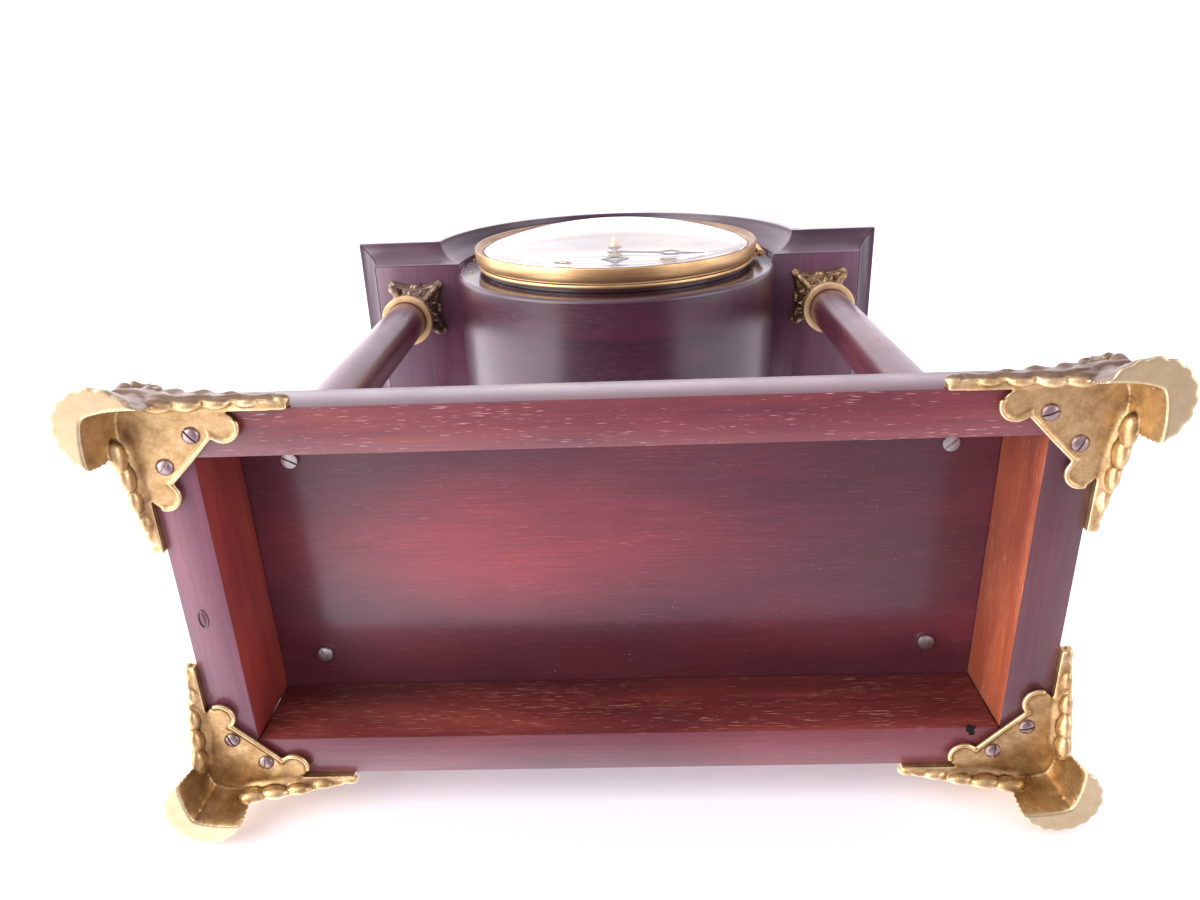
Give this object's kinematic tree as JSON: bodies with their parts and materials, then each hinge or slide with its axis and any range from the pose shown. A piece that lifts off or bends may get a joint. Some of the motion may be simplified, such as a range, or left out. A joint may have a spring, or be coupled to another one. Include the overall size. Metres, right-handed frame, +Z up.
{
  "type": "portico mantel clock",
  "caption": "Mantel clock: a wooden frame base on cast gilt feet, columns with leafy capitals, and a coved, arched head over a round drum with dial, hinged bezel, pendulum movement and gong.",
  "frame": {"origin": "on the floor, under the middle of the clock", "axes": "+Z up, -Y towards the viewer of the dial, +X to the viewer's right"},
  "size_m": [0.311, 0.166, 0.3597],
  "materials": {
    "mahogany": "polished",
    "dark_mahogany": "polished",
    "gilt_casting": "matt gilt with burnished edges",
    "brass": "lacquered",
    "steel": "satin",
    "iron": "rough",
    "dial_white": "gloss white with dark numerals",
    "blued_steel": "dark blued",
    "clear_glass": "clear, domed"
  },
  "bodies": {
    "case": {"front_rail": "mahogany", "rear_rail": "mahogany", "left_rail": "mahogany", "right_rail": "mahogany", "base_board": "mahogany", "foot_front_left": "gilt_casting", "foot_front_right": "gilt_casting", "foot_rear_left": "gilt_casting", "foot_rear_right": "gilt_casting", "column_base_front_left": "gilt_casting", "column_base_front_right": "gilt_casting", "column_base_rear_left": "gilt_casting", "column_base_rear_right": "gilt_casting", "column_front_left": "mahogany", "column_front_right": "mahogany", "column_rear_left": "mahogany", "column_rear_right": "mahogany", "capital_front_left": "gilt_casting", "capital_front_right": "gilt_casting", "capital_rear_left": "gilt_casting", "capital_rear_right": "gilt_casting", "column_screw_front_left": "steel", "column_screw_front_right": "steel", "column_screw_rear_left": "steel", "column_screw_rear_right": "steel", "soffit_left": "dark_mahogany", "soffit_right": "dark_mahogany", "cornice_front_left": "mahogany", "cornice_front_right": "mahogany", "cornice_side_left": "mahogany", "cornice_side_right": "mahogany", "cornice_arch": "mahogany", "head_top": "dark_mahogany", "drum_shell": "dark_mahogany", "drum_back": "mahogany", "bezel_ring": "brass", "rear_ring": "brass", "dial": "dial_white", "front_plate": "brass", "back_plate": "brass", "pendulum_cock": "brass", "gong": "steel", "gong_block": "iron"},
    "bezel_door": {"bezel": "brass", "bezel_glass": "clear_glass"},
    "back_door": {"rear_door": "brass"},
    "minute_arbor": {"minute_hand": "blued_steel", "hand_nut": "brass", "centre_wheel": "brass"},
    "hour_pipe": {"hour_hand": "blued_steel", "hour_wheel": "brass"},
    "third_arbor": {"third_wheel": "brass"},
    "escape_arbor": {"escape_wheel": "brass"},
    "anchor_arbor": {"anchor": "steel"},
    "pendulum": {"pendulum_rod": "steel", "pendulum_bob": "brass"},
    "going_spring": {"going_barrel": "brass"},
    "strike_spring": {"strike_barrel": "brass"},
    "hammer": {"strike_hammer": "steel"}
  },
  "joints": [
    {"name": "bezel_hinge", "type": "hinge", "parent": "case", "child": "bezel_door", "pos_m": [0.076, -0.0637, 0.2569], "axis": [0, 0, 1], "range_deg": [0, 100]},
    {"name": "back_door_hinge", "type": "hinge", "parent": "case", "child": "back_door", "pos_m": [0.0707, 0.0579, 0.2569], "axis": [0, 0, -1], "range_deg": [0, 100]},
    {"name": "minute_spin", "type": "hinge", "parent": "case", "child": "minute_arbor", "pos_m": [0, 0, 0.2569], "axis": [0, 1, 0], "continuous": true},
    {"name": "hour_spin", "type": "hinge", "parent": "case", "child": "hour_pipe", "pos_m": [0, 0, 0.2569], "axis": [0, 1, 0], "continuous": true},
    {"name": "third_spin", "type": "hinge", "parent": "case", "child": "third_arbor", "pos_m": [-0.02078, -0.0155, 0.2689], "axis": [0, 1, 0], "continuous": true},
    {"name": "escape_spin", "type": "hinge", "parent": "case", "child": "escape_arbor", "pos_m": [0, -0.0127, 0.2789], "axis": [0, 1, 0], "continuous": true},
    {"name": "pendulum_swing", "type": "hinge", "parent": "case", "child": "pendulum", "pos_m": [0, 0.012, 0.2989], "axis": [0, 1, 0], "range_deg": [-4, 4]},
    {"name": "anchor_rock", "type": "hinge", "parent": "case", "child": "anchor_arbor", "pos_m": [0, -0.0128, 0.2989], "axis": [0, 1, 0], "range_deg": [-4, 4]},
    {"name": "going_barrel_spin", "type": "hinge", "parent": "case", "child": "going_spring", "pos_m": [0.027, -0.032, 0.2369], "axis": [0, 1, 0], "continuous": true},
    {"name": "strike_barrel_spin", "type": "hinge", "parent": "case", "child": "strike_spring", "pos_m": [-0.027, -0.032, 0.2369], "axis": [0, 1, 0], "continuous": true},
    {"name": "hammer_lift", "type": "hinge", "parent": "case", "child": "hammer", "pos_m": [0.024, 0.034, 0.3029], "axis": [0, -1, 0], "range_deg": [0, 12]}
  ],
  "couplings": [
    {"joint": "hour_spin", "follows": "minute_spin", "ratio": 0.083333},
    {"joint": "third_spin", "follows": "minute_spin", "ratio": -3},
    {"joint": "anchor_rock", "follows": "pendulum_swing", "ratio": 1}
  ]
}
